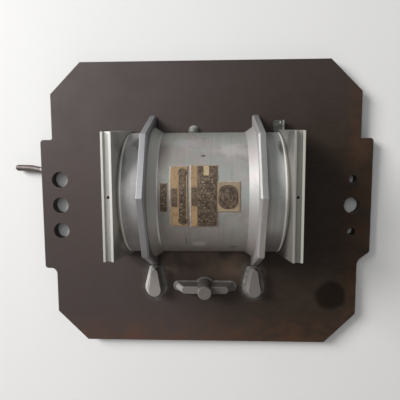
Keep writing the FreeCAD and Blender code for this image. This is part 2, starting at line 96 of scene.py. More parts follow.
# bars: gap between them, least length, what may come on top, the rest of a row that stays bare,
# and their corner as a share of their width
bar_gap = 0.0011
bar_least = 0.0014
bar_spread = 0.0034
bar_rest = 0.0015
bar_corner = 0.35
solder_step = 0.0022

# camera: millimetres for sensor and lens, radians for the turns
camera_sensor = 36.0
camera_lens = 32.64
camera_place = (0.0143, 0.0593, plate_top + 0.5564)
camera_turns = (-0.0913, 0.0373, -0.0004)


def shade(colour, factor):
    """The colour made darker or lighter."""
    return tuple(c * factor for c in colour)


# ---------------------------------------------------------------- building materials from nodes
class Finish:
    """One procedural material, with short calls that add nodes to it."""

    def __init__(self, name):
        self.material = bpy.data.materials.new(name)
        self.material.use_nodes = True
        self.tree = self.material.node_tree
        self.tree.nodes.clear()
        self.shader = self.node("ShaderNodeBsdfPrincipled")
        output = self.node("ShaderNodeOutputMaterial")
        self.tree.links.new(self.shader.outputs["BSDF"], output.inputs["Surface"])
        self.place = self.node("ShaderNodeTexCoord").outputs["Object"]
        parts = self.node("ShaderNodeSeparateXYZ", {0: self.place})
        self.x, self.y, self.z = parts.outputs[0], parts.outputs[1], parts.outputs[2]

    def node(self, kind, inputs=None, **settings):
        """Adds a node with its settings, and feeds its inputs."""
        made = self.tree.nodes.new(kind)
        for key, value in settings.items():
            setattr(made, key, value)
        for key, value in (inputs or {}).items():
            self.feed(made.inputs[key], value)
        return made

    def feed(self, socket, value):
        """Links another node's output to a socket, or sets its value."""
        if isinstance(value, bpy.types.NodeSocket):
            self.tree.links.new(value, socket)
        else:
            socket.default_value = value

    def math(self, operation, a, b=0.0):
        return self.node("ShaderNodeMath", {0: a, 1: b}, operation=operation).outputs[0]

    def times(self, a, b):
        return self.math("MULTIPLY", a, b)

    def plus(self, a, b):
        return self.math("ADD", a, b)

    def minus(self, a, b):
        return self.math("SUBTRACT", a, b)

    def distance(self, dx, dy):
        """Length of the line that reaches dx one way and dy across it."""
        return self.math("SQRT", self.plus(self.times(dx, dx), self.times(dy, dy)))

    def wander(self, noise, reach):
        """A noise from 0 to 1 turned into one that is reach wide round 0."""
        return self.times(self.minus(noise, 0.5), reach)

    def smooth(self, value, low, high, top=1.0):
        """0 at low and top at high, with soft ends; low may be above high."""
        made = self.node("ShaderNodeMapRange", {"Value": value, "From Min": low, "From Max": high,
                                                "To Min": 0.0, "To Max": top})
        made.interpolation_type = "SMOOTHSTEP"
        return made.outputs[0]

    def band(self, value, low, high, soft):
        """1 between low and high, falling off over soft at each end."""
        return self.times(self.smooth(value, low - soft, low + soft),
                          self.smooth(value, high + soft, high - soft))

    def noise(self, scale, stretch=(1, 1, 1), detail=4.0, roughness=0.55, shift=0.0, warp=0.0):
        """Layered noise from 0 to 1 whose blotches are about 1 / scale metres across."""
        mapped = self.node("ShaderNodeMapping", {"Vector": self.place, "Scale": stretch,
                                                 "Location": (shift, shift * 1.7, shift * 0.6)})
        made = self.node("ShaderNodeTexNoise", {"Vector": mapped.outputs[0], "Scale": scale,
                                                "Detail": detail, "Roughness": roughness,
                                                "Distortion": warp})
        return made.outputs[0]

    def mix(self, factor, a, b, blend="MIX"):
        """Colour a turning into colour b as factor goes from 0 to 1."""
        made = self.node("ShaderNodeMix", data_type="RGBA", blend_type=blend)
        self.feed(made.inputs[0], factor)
        for index, colour in ((6, a), (7, b)):
            self.feed(made.inputs[index], (*colour, 1.0) if isinstance(colour, tuple) else colour)
        return made.outputs[2]

    def edges(self, radius):
        """1 on the edges of the piece and 0 on its faces, over about the radius given."""
        rounded = self.node("ShaderNodeBevel", {"Radius": radius}, samples=4).outputs[0]
        flat = self.node("ShaderNodeNewGeometry").outputs["Normal"]
        facing = self.node("ShaderNodeVectorMath", {0: rounded, 1: flat}, operation="DOT_PRODUCT")
        return self.smooth(self.minus(1.0, facing.outputs["Value"]), 0.02, 0.18)

    def corners(self, distance):
        """1 in the open and towards 0 in inside corners between pieces."""
        return self.node("ShaderNodeAmbientOcclusion", {"Distance": distance}, samples=4).outputs["AO"]

    def normal(self):
        """The three parts of the direction that the surface faces."""
        geometry = self.node("ShaderNodeNewGeometry")
        return self.node("ShaderNodeSeparateXYZ", {0: geometry.outputs["Normal"]}).outputs

    def angle(self):
        """Angle round the barrel in degrees from its top, positive towards +Y."""
        across = self.minus(self.y, pattern_y)
        up = self.minus(self.z, plate_top)
        return self.times(self.math("ARCTAN2", across, up), 180 / math.pi)

    def patch(self, x, degrees, half_x, half_degrees, top):
        """top in a ragged oval on the barrel round x and an angle, fading out to its rim."""
        dx = self.times(self.minus(self.x, x), 1 / half_x)
        dt = self.times(self.minus(self.angle(), degrees), 1 / half_degrees)
        ragged = self.wander(self.noise(70, shift=x * 90), 1.2)
        return self.smooth(self.plus(self.distance(dx, dt), ragged), 1.1, 0.4, top)

    def drift(self, colour, scale, shift):
        """The colour, wandering a little between pink and green."""
        way = self.smooth(self.noise(scale, detail=3, shift=shift, warp=0.5), 0.38, 0.62)
        toned = self.mix(way, (1.04, 0.985, 0.98), (0.965, 1.01, 0.975))
        return self.mix(1.0, colour, toned, "MULTIPLY")

    def finish(self, colour, roughness, metallic, height=None, bump=0.0002, rounding=0.0):
        """Feeds the shader and returns the material."""
        self.feed(self.shader.inputs["Base Color"], colour)
        self.feed(self.shader.inputs["Roughness"], roughness)
        self.feed(self.shader.inputs["Metallic"], metallic)
        normal = None
        if rounding:
            normal = self.node("ShaderNodeBevel", {"Radius": rounding}, samples=4).outputs[0]
        if height is not None:
            bumped = self.node("ShaderNodeBump", {"Strength": 1.0, "Distance": bump, "Height": height})
            if normal is not None:
                self.feed(bumped.inputs["Normal"], normal)
            normal = bumped.outputs[0]
        if normal is not None:
            self.feed(self.shader.inputs["Normal"], normal)
        return self.material


# ---------------------------------------------------------------- finish of the steel plate
def plate_steel():
    """Oiled and oxidised steel: brown-grey, darker to the right partly as painted shade, rust-brown
    along its rims, with painted shade in inside corners.
    """
    f = Finish("oiled_steel")
    patches = f.noise(28, detail=5, shift=3.1)
    grain = f.noise(900, detail=3)
    rightward = f.smooth(f.x, plate_low.x, plate_high.x)
    rust = rim_rust(f)
    stain = oil_stain(f)

    colour = bare_steel(f, patches, rightward)
    rust_colour = f.mix(rightward, (0.100, 0.046, 0.028), (0.078, 0.034, 0.013))
    colour = f.mix(f.times(rust, 0.70), colour, rust_colour)
    # brown tinge under the barrel: partly a stain, partly painted light lifting the shade there
    colour = f.mix(under_barrel_stain_and_light(f), colour, (0.135, 0.090, 0.062))
    colour = f.mix(filler_haze(f), colour, (0.150, 0.142, 0.130))
    colour = f.mix(f.times(stain, 0.9), colour, (0.010, 0.0055, 0.0030))
    colour = f.mix(f.times(f.edges(0.0012), 0.35), colour, (0.20, 0.165, 0.145))
    # inside corners darkened: grime and painted shade
    colour = f.mix(f.smooth(f.corners(0.02), 0.75, 0.25, 0.7), colour, (0.022, 0.018, 0.014))

    roughness = f.plus(f.times(patches, 0.25), 0.36)
    roughness = f.plus(roughness, f.times(rust, 0.2))
    roughness = f.minus(roughness, f.times(stain, 0.15))
    height = f.plus(f.times(grain, 0.5), f.times(patches, 0.8))
    f.shader.inputs["Specular IOR Level"].default_value = 0.3
    return f.finish(colour, roughness, 0.2, height, bump=0.00025)


def bare_steel(f, patches, rightward):
    """Colour of the plate without rust and stains: darker to the right, partly oily patina and partly
    painted shade of the light's fall-off, less so near its far rim.
    """
    mottle = f.noise(7, detail=6, warp=0.6)
    lap = f.noise(60, stretch=(1, 9, 1), detail=3, shift=1.3)
    # darker to the right: partly oily patina, partly painted shade of the light's fall-off; the painted
    # shade is eased near the far rim, which the light reaches
    dark = f.smooth(f.plus(rightward, f.wander(mottle, 0.5)), 0.1, 1.0)
    far_side = f.smooth(f.y, 0.06, plate_high.y, 0.55)
    dark = f.times(dark, f.minus(1.0, far_side))
    colour = f.mix(dark, (0.066, 0.050, 0.047), (0.028, 0.018, 0.011))
    colour = f.mix(f.smooth(patches, 0.35, 0.75, 0.35), colour, (0.045, 0.033, 0.027))
    return f.mix(f.smooth(lap, 0.45, 0.8, 0.2), colour, (0.082, 0.066, 0.060))


def rim_rust(f):
    """How rusty the plate is: ragged strips along its near and right rims."""
    low_rim = f.smooth(f.y, plate_low.y + 0.055, plate_low.y + 0.004)
    right_rim = f.smooth(f.x, plate_high.x - 0.055, plate_high.x - 0.022)
    rim = f.math("MAXIMUM", low_rim, f.times(right_rim, 0.8))
    return f.times(rim, f.smooth(f.noise(40, detail=6, shift=5.0, warp=0.8), 0.28, 0.72))


def oil_stain(f):
    """Round dark spot near the plate's near right corner, as left by a can."""
    distance = f.distance(f.minus(f.x, oil_spot[0]), f.minus(f.y, oil_spot[1]))
    wobble = f.wander(f.noise(40, shift=2.2), 0.012)
    return f.smooth(f.plus(distance, wobble), 0.028, 0.018)


def under_barrel_stain_and_light(f):
    """Brown tinge on the plate between the barrel and the runner, lighter than the steel round it:
    partly a stain, partly painted light that lifts the shade at the barrel's foot.
    """
    along = f.band(f.x, barrel_low.x, barrel_high.x, 0.02)
    across = f.band(f.y, -0.115, barrel_low.y + 0.02, 0.015)
    return f.times(f.times(along, across), f.smooth(f.noise(30, shift=7.0), 0.25, 0.7, 0.75))


def filler_haze(f):
    """Smear of rubbed-off filler on the plate round both feeders."""
    rings = []
    for low, high in feeder_boxes.values():
        dx = f.minus(f.x, (low.x + high.x) / 2)
        off_middle = f.math("ABSOLUTE", f.minus(f.y, (low.y + high.y) / 2))
        dy = f.math("MAXIMUM", f.minus(off_middle, (high.y - low.y) / 2 - haze_inset), 0.0)
        wobble = f.wander(f.noise(70, shift=low.x), 0.010)
        rings.append(f.smooth(f.plus(f.distance(dx, dy), wobble), haze_outer, haze_inner, 0.7))
    return f.times(f.math("MAXIMUM", *rings), f.smooth(f.noise(150, shift=4.0), 0.2, 0.75))


# ---------------------------------------------------------------- finishes of the castings
def aluminium(name, bright, dull, roughness, metallic, shift, streaks=0.5, blotches=0.4,
              edge_glow=0.5, grime_and_shade=0.5, faces=None, rim=None, bevel=None, crown=None,
              crown_colours=None, low_side=0.45, high_side=0.0, stains_and_shadows=()):
    """Worked aluminium with tool marks that run round the pattern, stains, and rubbed edges that a
    painted edge highlight brightens further; grime and painted shade darken its inside corners.

    shift moves the noises, so that no two pieces look alike. faces gives the painted light and shade
    of each kind of face in FACES that gets one. rim is the distance from the middle past which a rim
    carries a painted highlight, and bevel the distance short of which a bevel is painted pale as lit.
    crown is the height above which the ridges are, and crown_colours are those of the inner and the
    outer ridge, polished tops brightened by painted highlights. low_side paints a brown shade on what
    faces -Y and high_side a grey shade on what faces +Y. stains_and_shadows are dark ovals, partly
    stains and partly painted shadow.
    """
    f = Finish(name)
    marks = f.noise(260, stretch=(1, 0.03, 0.03), detail=5, roughness=0.7, shift=shift)
    fine = f.noise(1500, stretch=(1, 0.06, 0.06), detail=2, shift=shift + 1)
    blotch = f.noise(24, detail=5, warp=0.5, shift=shift + 2)
    scuff = f.noise(120, detail=6, roughness=0.7, shift=shift + 3)
    colour = f.mix(f.smooth(marks, 0.35, 0.7, streaks), bright, dull)
    colour = f.mix(f.smooth(blotch, 0.42, 0.72, blotches), colour, dull)
    colour = f.mix(f.smooth(scuff, 0.55, 0.8, 0.35), colour, shade(dull, 0.6))
    # painted light and shade by the way each face turns
    colour = shade_by_facing(f, colour, faces or {})
    # painted shade by the angle round the barrel: brown towards -Y, grey high on the +Y side
    colour = f.mix(f.smooth(f.angle(), -15.0, -60.0, low_side), colour, (0.150, 0.128, 0.115))
    colour = f.mix(f.smooth(f.angle(), 44.0, 66.0, high_side), colour, (0.19, 0.20, 0.195))
    # dark ovals: partly stains, partly painted shadow near the prints and flanges
    for dark_oval in stains_and_shadows:
        colour = f.mix(f.patch(*dark_oval), colour, (0.085, 0.090, 0.080))
    colour = rim_and_ridge_highlights(f, colour, rim, bevel, crown, crown_colours)
    # painted edge highlight over the rubbed edges: edges turn towards a brighter copy of the metal
    lit = tuple(min(1.0, c * 1.5) for c in bright)
    colour = f.mix(f.times(f.edges(0.0011), edge_glow), colour, lit)
    # inside corners darkened: grime and painted shade
    colour = f.mix(f.smooth(f.corners(0.012), 0.7, 0.2, grime_and_shade), colour, (0.045, 0.045, 0.038))
    rough = f.plus(f.wander(marks, 0.25), roughness)
    rough = f.plus(rough, f.times(blotch, 0.1))
    height = f.plus(f.times(fine, 0.4), f.plus(f.times(marks, 0.5), f.times(scuff, 0.35)))
    return f.finish(colour, rough, metallic, height, bump=0.00012, rounding=edge_rounding)


def shade_by_facing(f, colour, faces):
    """The colour, with painted light and shade on the kinds of face given, by the way they turn."""
    normal = f.normal()
    for face, (axis, start, whole, cover) in FACES.items():
        if face in faces:
            colour = f.mix(f.smooth(normal[axis], start, whole, cover), colour, faces[face])
    return colour


def rim_and_ridge_highlights(f, colour, rim, bevel, crown, crown_colours):
    """The colour, with a painted highlight on a rim, a bevel painted pale as lit, and ridge tops
    of polished metal brightened by painted highlights, where they are given.
    """
    outward = f.math("ABSOLUTE", f.x)
    if rim is not None:
        # painted highlight along the rim
        colour = f.mix(f.smooth(outward, rim - 0.0026, rim - 0.0016, 0.95), colour,
                       (0.88, 0.86, 0.80))
    if bevel is not None:
        # painted light: the bevel is painted pale
        colour = f.mix(f.smooth(outward, bevel + 0.0003, bevel - 0.0003, 0.9), colour,
                       (0.42, 0.405, 0.40))
    if crown is not None:
        # polished ridge tops, brightened further by painted highlights
        ridge = f.mix(f.smooth(outward, print_mid_x, print_mid_x + 0.001), *crown_colours)
        colour = f.mix(f.smooth(f.z, crown - 0.0016, crown - 0.0006, 0.85), colour, ridge)
    return colour


def barrel_casting():
    """Barrel: grey cast aluminium, duller and warmer to the left, with soft stains, painted shade on its
    side towards -Y and in inside corners, and a painted highlight on the left flare's crease.
    """
    f = Finish("barrel_cast")
    marks = f.noise(300, stretch=(1, 0.04, 0.04), detail=4, roughness=0.65)
    stain = f.noise(45, detail=6, roughness=0.65, warp=0.8, shift=5.0)
    grain = f.noise(1300, detail=3)
    colour = barrel_metal(f, marks, stain)
    colour = barrel_patches(f, colour)
    colour = barrel_flares(f, colour)
    # painted shade: darker and warmer on the barrel's side towards -Y
    colour = f.mix(f.smooth(f.angle(), -5.0, -60.0, 0.62), colour, (0.185, 0.150, 0.132))
    colour = barrel_spots(f, colour)
    colour = f.drift(colour, 34, 6.0)
    # painted highlight along the left flare's crease
    colour = f.mix(flare_crease_highlight(f, marks), colour, (0.68, 0.67, 0.63))
    colour = f.mix(f.times(f.edges(0.0012), 0.5), colour, (0.55, 0.545, 0.53))
    # inside corners darkened: grime and painted shade
    colour = f.mix(f.smooth(f.corners(0.012), 0.7, 0.2, 0.5), colour, (0.050, 0.048, 0.040))
    rough = f.plus(f.times(stain, 0.2), f.plus(f.times(marks, 0.12), 0.40))
    height = f.plus(f.times(grain, 0.3), f.plus(f.times(marks, 0.5), f.times(stain, 0.5)))
    return f.finish(colour, rough, 0.45, height, bump=0.00018, rounding=edge_rounding)


def barrel_metal(f, marks, stain):
    """Clouded, stained and scratched metal of the whole barrel."""
    cloud = f.noise(26, detail=5, warp=0.6, shift=2.0)
    scratch = f.noise(420, stretch=(0.08, 1, 1), detail=3, roughness=0.7, shift=9.0)
    rightward = f.smooth(f.plus(f.x, f.wander(cloud, 0.05)), barrel_low.x, barrel_high.x * 0.7)
    colour = f.mix(rightward, (0.275, 0.262, 0.243), (0.35, 0.35, 0.34))
    colour = f.mix(f.smooth(cloud, 0.40, 0.70, 0.40), colour, (0.25, 0.25, 0.235))
    colour = f.mix(f.smooth(cloud, 0.46, 0.25, 0.40), colour, (0.43, 0.43, 0.42))
    colour = f.mix(f.smooth(stain, 0.52, 0.78, 0.6), colour, (0.17, 0.155, 0.14))
    colour = f.mix(f.smooth(marks, 0.48, 0.75, 0.32), colour, (0.21, 0.20, 0.19))
    colour = f.mix(f.smooth(marks, 0.45, 0.25, 0.25), colour, (0.47, 0.465, 0.45))
    return f.mix(f.smooth(scratch, 0.62, 0.8, 0.25), colour, (0.46, 0.455, 0.44))


def barrel_patches(f, colour):
    """The colour, with a brown, a whitish and a pinkish patch on the far half."""
    colour = f.mix(f.patch(-0.053, 36.0, 0.013, 20.0, 0.6), colour, (0.20, 0.172, 0.165))
    colour = f.mix(f.patch(0.040, 43.0, 0.026, 9.0, 0.5), colour, (0.50, 0.50, 0.49))
    return f.mix(f.patch(-0.022, 52.0, 0.020, 8.0, 0.5), colour, (0.38, 0.355, 0.375))


def barrel_flares(f, colour):
    """The colour, with a plain grey right flare and a pale left one."""
    flare = f.smooth(f.math("ABSOLUTE", f.x), flare_start - 0.0006, flare_start + 0.0012)
    right_flare = f.times(flare, f.smooth(f.x, 0.0, 0.01))
    colour = f.mix(f.times(right_flare, 0.8), colour, (0.36, 0.34, 0.345))
    left_flare = f.times(flare, f.smooth(f.x, 0.0, -0.01))
    pale = f.times(left_flare, f.smooth(f.angle(), -62.0, -10.0, 0.85))
    return f.mix(pale, colour, (0.56, 0.565, 0.53))


def barrel_spots(f, colour):
    """The colour, with a scuff, a scratch, the vent's dark mark and a dark spot."""
    colour = f.mix(f.patch(-0.006, -49.0, 0.014, 5.0, 0.8), colour, (0.38, 0.355, 0.34))
    colour = f.mix(f.patch(-0.023, -44.0, 0.0013, 8.0, 0.7), colour, (0.07, 0.060, 0.052))
    colour = f.mix(f.patch(0.001, 36.3, 0.0045, 1.6, 0.7), colour, (0.10, 0.095, 0.088))
    return f.mix(f.patch(0.041, -55.0, 0.006, 2.0, 0.7), colour, (0.05, 0.042, 0.036))


def flare_crease_highlight(f, marks):
    """Painted highlight: a bright broken line where the left flare starts."""
    line = f.band(f.x, -flare_start - 0.0010, -flare_start + 0.0016, 0.0005)
    broken = f.times(f.smooth(marks, 0.80, 0.40, 0.9), f.smooth(f.angle(), -58.0, -34.0))
    return f.times(line, broken)


def lug_finish():
    """Lug: dark filed block, with a painted highlight along the edge away from the barrel and a painted
    highlight spot near its far end.
    """
    f = Finish("lug_filed")
    low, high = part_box("locating_lug")
    middle = (low.x + high.x) / 2
    scuff = f.noise(200, detail=5, roughness=0.7, shift=15.0)
    colour = f.mix(f.smooth(scuff, 0.35, 0.7), (0.036, 0.040, 0.034), (0.10, 0.10, 0.09))
    # painted highlight along the edge away from the barrel
    edge_highlight = f.band(f.x, high.x - 0.0034, high.x - 0.0012, 0.0006)
    colour = f.mix(f.times(edge_highlight, f.smooth(scuff, 0.3, 0.6, 0.8)), colour, (0.36, 0.36, 0.34))
    # painted highlight spot near the far end of the top
    spot = f.times(f.band(f.x, middle, middle + 0.0016, 0.0008),
                   f.band(f.y, high.y - 0.0044, high.y - 0.0020, 0.0008))
    colour = f.mix(spot, colour, (0.60, 0.60, 0.57))
    colour = f.mix(f.times(f.edges(0.0011), 0.5), colour, (0.20, 0.20, 0.185))
    rough = f.plus(f.times(scuff, 0.2), 0.5)
    return f.finish(colour, rough, 0.3, scuff, bump=0.0002, rounding=edge_rounding)


# ---------------------------------------------------------------- finishes of the small pieces
def brass(name, shift, worn):
    """Worn brass sheet: warm metal where it is rubbed, brown patina in its hollows, and painted light
    that makes the plates towards -Y round the barrel lighter.
    """
    f = Finish(name)
    patina = f.noise(140, detail=6, roughness=0.7, shift=shift)
    speck = f.noise(600, detail=3, shift=shift + 1)
    # painted light: lighter on the plates that sit towards -Y round the barrel
    colour = f.mix(f.smooth(f.angle(), 5.0, -20.0, 0.7), worn, shade(worn, 1.75))
    colour = f.mix(f.smooth(patina, 0.46, 0.68, 0.6), colour, shade(worn, 0.6))
    colour = f.mix(f.smooth(speck, 0.55, 0.8, 0.30), colour, (0.07, 0.045, 0.028))
    colour = f.mix(f.times(f.edges(0.0008), 0.5), colour, (0.60, 0.46, 0.27))
    rough = f.plus(f.times(patina, 0.3), 0.38)
    return f.finish(colour, rough, 0.35, f.plus(speck, patina), bump=0.0002)


def dark_patina(name, shift):
    """Brown oxide left between the raised parts of the marking plates."""
    f = Finish(name)
    blotch = f.noise(170, detail=6, roughness=0.75, shift=shift)
    colour = f.mix(f.smooth(blotch, 0.38, 0.68), (0.062, 0.044, 0.032), (0.200, 0.145, 0.098))
    colour = f.mix(f.times(f.edges(0.0005), 0.6), colour, (0.30, 0.225, 0.14))
    rough = f.plus(f.times(blotch, 0.25), 0.5)
    return f.finish(colour, rough, 0.45, blotch, bump=0.0003)


def rubbed_marks():
    """Tops of the small raised marks: brass where rubbed, patina in between."""
    f = Finish("rubbed_marks")
    blotch = f.noise(230, detail=5, roughness=0.7, shift=11.0)
    colour = f.mix(f.smooth(blotch, 0.42, 0.60), (0.065, 0.047, 0.034), (0.31, 0.235, 0.155))
    return f.finish(colour, f.plus(f.times(blotch, 0.2), 0.38), 0.4, blotch, bump=0.0002)


def solder():
    """Dull grey solder, brighter where it has been scraped."""
    f = Finish("grey_solder")
    lump = f.noise(260, detail=5, roughness=0.65)
    colour = f.mix(f.smooth(lump, 0.35, 0.7), (0.25, 0.205, 0.165), (0.42, 0.36, 0.30))
    return f.finish(colour, f.plus(f.times(lump, 0.2), 0.55), 0.1, lump, bump=0.0003)


def filler():
    """Grey body filler round the feet of the gating, painted pale as lit where it faces left on the left
    half.
    """
    f = Finish("grey_filler")
    lumps = f.noise(180, detail=5)
    colour = f.mix(f.smooth(lumps, 0.3, 0.7), (0.10, 0.10, 0.088), (0.235, 0.23, 0.21))
    colour = f.mix(f.smooth(f.noise(60, shift=2.0), 0.45, 0.75, 0.5), colour, (0.07, 0.066, 0.056))
    # painted light on the left-facing filler of the left half
    painted_lit_side = f.times(f.smooth(f.normal()[0], -0.15, -0.50), f.smooth(f.x, 0.0, -0.02, 0.85))
    colour = f.mix(painted_lit_side, colour, (0.45, 0.435, 0.41))
    return f.finish(colour, f.plus(f.times(lumps, 0.2), 0.6), 0.1, lumps, bump=0.0006)


def rod_steel():
    """Handled mild steel, brown with bright rubbed streaks."""
    f = Finish("rod_steel")
    streak = f.noise(120, stretch=(0.12, 1, 1), detail=5)
    blotch = f.noise(70, detail=5, shift=3.0)
    colour = f.mix(f.smooth(streak, 0.35, 0.65), (0.20, 0.175, 0.168), (0.10, 0.075, 0.068))
    colour = f.mix(f.smooth(blotch, 0.5, 0.75, 0.6), colour, (0.10, 0.055, 0.038))
    rough = f.plus(f.times(blotch, 0.25), 0.38)
    return f.finish(colour, rough, 0.75, f.plus(streak, blotch), bump=0.0003)


def screw_steel():
    """Black-oxide screws and dowels with rubbed rims."""
    f = Finish("black_oxide")
    speck = f.noise(400, detail=4)
    colour = f.mix(speck, (0.018, 0.018, 0.020), (0.05, 0.048, 0.046))
    colour = f.mix(f.times(f.edges(0.0006), 0.5), colour, (0.16, 0.155, 0.15))
    return f.finish(colour, f.plus(f.times(speck, 0.2), 0.4), 0.7, speck, bump=0.0001)


def pale_floor():
    """Plain pale studio floor."""
    f = Finish("pale_floor")
    colour = f.mix(f.noise(3, detail=2), (0.74, 0.74, 0.73), (0.78, 0.78, 0.77))
    return f.finish(colour, 0.8, 0.0)


# ---------------------------------------------------------------- finishes on the CAD pieces
def dress(names, material):
    """Gives one finish to CAD pieces."""
    for name in names:
        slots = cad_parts[name].data.materials
        slots.clear()
        slots.append(material)


def dress_hubs():
    """Cast hubs with a painted highlight on the rim, each with dark ovals of stain and painted shadow
    in its own places.
    """
    dress(["hub_left"], aluminium(
        "hub_left_cast", (0.44, 0.43, 0.42), (0.27, 0.26, 0.245), roughness=0.5, metallic=0.5,
        shift=4.0, rim=hub_end, grime_and_shade=0.15,
        stains_and_shadows=((-0.086, 52.0, 0.014, 14.0, 0.8), (-0.106, 26.0, 0.005, 18.0, 0.4),
                 (-0.100, -40.0, 0.010, 16.0, 0.15))))
    dress(["hub_right"], aluminium(
        "hub_right_cast", (0.49, 0.50, 0.48), (0.30, 0.31, 0.285), roughness=0.55, metallic=0.3,
        shift=5.0, rim=hub_end, low_side=0.95, high_side=0.45, grime_and_shade=0.15,
        stains_and_shadows=((0.106, 44.0, 0.006, 12.0, 0.8), (0.092, -46.0, 0.016, 18.0, 0.4))))


def dress_flanges():
    """Filed flanges, the right one with its bevel painted pale as lit."""
    dress(["flange_left"], aluminium(
        "flange_left_filed", (0.37, 0.37, 0.385), (0.27, 0.265, 0.27), roughness=0.4,
        metallic=0.6, shift=8.0))
    dress(["flange_right"], aluminium(
        "flange_right_filed", (0.34, 0.34, 0.335), (0.23, 0.225, 0.22), roughness=0.42,
        metallic=0.6, shift=9.0, blotches=0.3, bevel=flange_bevel_end))


def dress_prints():
    """Filed core prints: the left one painted bright as lit and the right one painted dull as shaded,
    with painted light and shade on their level faces and painted highlights on their ridges.
    """
    dress(["core_print_left"], aluminium(
        "print_left_filed", (0.58, 0.57, 0.53), (0.36, 0.355, 0.33), roughness=0.38,
        metallic=0.4, shift=12.0, edge_glow=0.6, streaks=0.6, blotches=0.3, grime_and_shade=0.2,
        faces={"level": (0.95, 0.93, 0.88)},
        crown=print_top, crown_colours=((0.70, 0.68, 0.63), (0.52, 0.51, 0.47)),
        stains_and_shadows=((-0.111, -38.0, 0.006, 12.0, 0.5), (-0.111, 42.0, 0.006, 9.0, 0.4))))
    dress(["core_print_right"], aluminium(
        "print_right_filed", (0.32, 0.305, 0.285), (0.20, 0.19, 0.175), roughness=0.38,
        metallic=0.5, shift=13.0, edge_glow=0.9, streaks=0.6, blotches=0.3,
        faces={"level": (0.40, 0.395, 0.345)},
        crown=print_top, crown_colours=((0.36, 0.355, 0.31), (0.70, 0.68, 0.58)),
        stains_and_shadows=((0.111, 43.0, 0.006, 9.0, 0.5),)))


def feeder_metal(side, painted_light_level):
    """Feeder: pale and blotched, with painted shade on its top and its right side, all scaled by the
    painted light level.
    """
    bright = shade((0.78, 0.75, 0.72), painted_light_level)
    dull = shade((0.42, 0.40, 0.38), painted_light_level)
    top = shade((0.24, 0.225, 0.21), painted_light_level)
    return aluminium("feeder_" + side, bright, dull, roughness=0.6, metallic=0.2,
                     shift=20.0 + painted_light_level, streaks=0.25, blotches=0.7,
                     faces={"level": top, "right": painted_side_shade})


def runner_metal(side, painted_light_level):
    """Arm of the runner: painted shade on its top, its far wall and its right side, and painted light
    on its left side, all scaled by the painted light level.
    """
    bright = shade((0.62, 0.60, 0.57), painted_light_level)
    dull = shade((0.30, 0.285, 0.27), painted_light_level)
    top = shade((0.16, 0.145, 0.138), painted_light_level)
    return aluminium("runner_" + side, bright, dull, roughness=0.6, metallic=0.2,
                     shift=22.0 + painted_light_level, streaks=0.25, blotches=0.7,
                     faces={"level": top, "far": painted_wall_shade, "left": bright, "right": painted_side_shade})


def dress_gating():
    """Gates, feeders, runner, sprue and filler; the right feeder and arm are painted half as bright,
    as painted shade.
    """
    # the gates are painted dark as shade
    dress(["gate_left", "gate_right"], aluminium(
        "gate_filed", (0.12, 0.125, 0.11), (0.05, 0.055, 0.045), roughness=0.6, metallic=0.3,
        shift=16.0, streaks=0.2, edge_glow=0.45))
    # the right feeder and arm get half the painted light
    for side, painted_light_level in (("left", 1.0), ("right", 0.50)):
        dress(["feeder_" + side], feeder_metal(side, painted_light_level))
        dress(["runner_" + side], runner_metal(side, painted_light_level))
    # painted shade on the sprue's top and on its far wall
    dress(["sprue"], aluminium(
        "sprue_filed", (0.24, 0.225, 0.21), (0.15, 0.14, 0.13), roughness=0.6, metallic=0.25,
        shift=24.0, streaks=0.2, faces={"level": (0.135, 0.118, 0.108), "far": painted_wall_shade}))
    dress(["feeder_bead_left", "feeder_bead_right", "runner_bead"], filler())


def dress_small_pieces():
    """Lug, far boss, marking plates, rod, screws and dowels."""
    dress(["locating_lug"], lug_finish())
    # the far boss is painted dark as shadow, with a painted highlight on the face that looks away from
    # the barrel
    dress(["far_boss"], aluminium(
        "boss_filed", (0.12, 0.125, 0.11), (0.06, 0.062, 0.055), roughness=0.5, metallic=0.3,
        shift=17.0, streaks=0.2, edge_glow=0.1, grime_and_shade=0.9, faces={"far": (0.33, 0.32, 0.30)}))
    dress(["marking_bar_plate"], brass("worn_brass_bar", 1.0, (0.31, 0.208, 0.110)))
    dress(["marking_block_plate"], brass("worn_brass_block", 2.0, (0.31, 0.208, 0.110)))
    dress(["marking_disc_plate"], brass("worn_brass_disc", 3.0, (0.30, 0.230, 0.150)))
    dress(["marking_strip"], dark_patina("patina_strip", 4.0))
    dress(["lifting_rod", "rod_weld"], rod_steel())
    dress([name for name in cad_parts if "screw" in name or "dowel" in name], screw_steel())


def dress_all():
    """A finish for every CAD piece."""
    dress(["pattern_plate"], plate_steel())
    dress(["barrel"], barrel_casting())
    dress_hubs()
    dress_flanges()
    dress_prints()
    dress_gating()
    dress_small_pieces()


# ---------------------------------------------------------------- relief on the marking plates
def wrap(x, arc, height):
    """Point at x, arc metres round the barrel from its top and height above the brass plates."""
    turn = arc / plate_face_radius
    radius = plate_face_radius + height
    return Vector((x, pattern_y + radius * math.sin(turn), plate_top + radius * math.cos(turn)))


def arc_at(degrees):
    """Length round the brass plates' face to an angle from the top."""
    return math.radians(degrees) * plate_face_radius


def even_arcs(low, high, count):
    """Arcs at even steps between two ends."""
    return [low + (high - low) * (i + 0.5) / count for i in range(count)]


def plate_span(node):
    """X from and to, and arc from and to, of a brass plate's outer face."""
    low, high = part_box(node)
    arcs = [math.asin((y - pattern_y) / plate_face_radius) * plate_face_radius
            for y in (low.y, high.y)]
    return low.x, high.x, arcs[0], arcs[1]


def join_rings(mesh, rings, back_to_first=True):
    """Adds faces between each ring of points and the next one."""
    following = rings[1:] + rings[:1] if back_to_first else rings[1:]
    for low, high in zip(rings, following):
        for i in range(len(low)):
            j = (i + 1) % len(low)
            mesh.faces.new((low[i], low[j], high[j], high[i]))


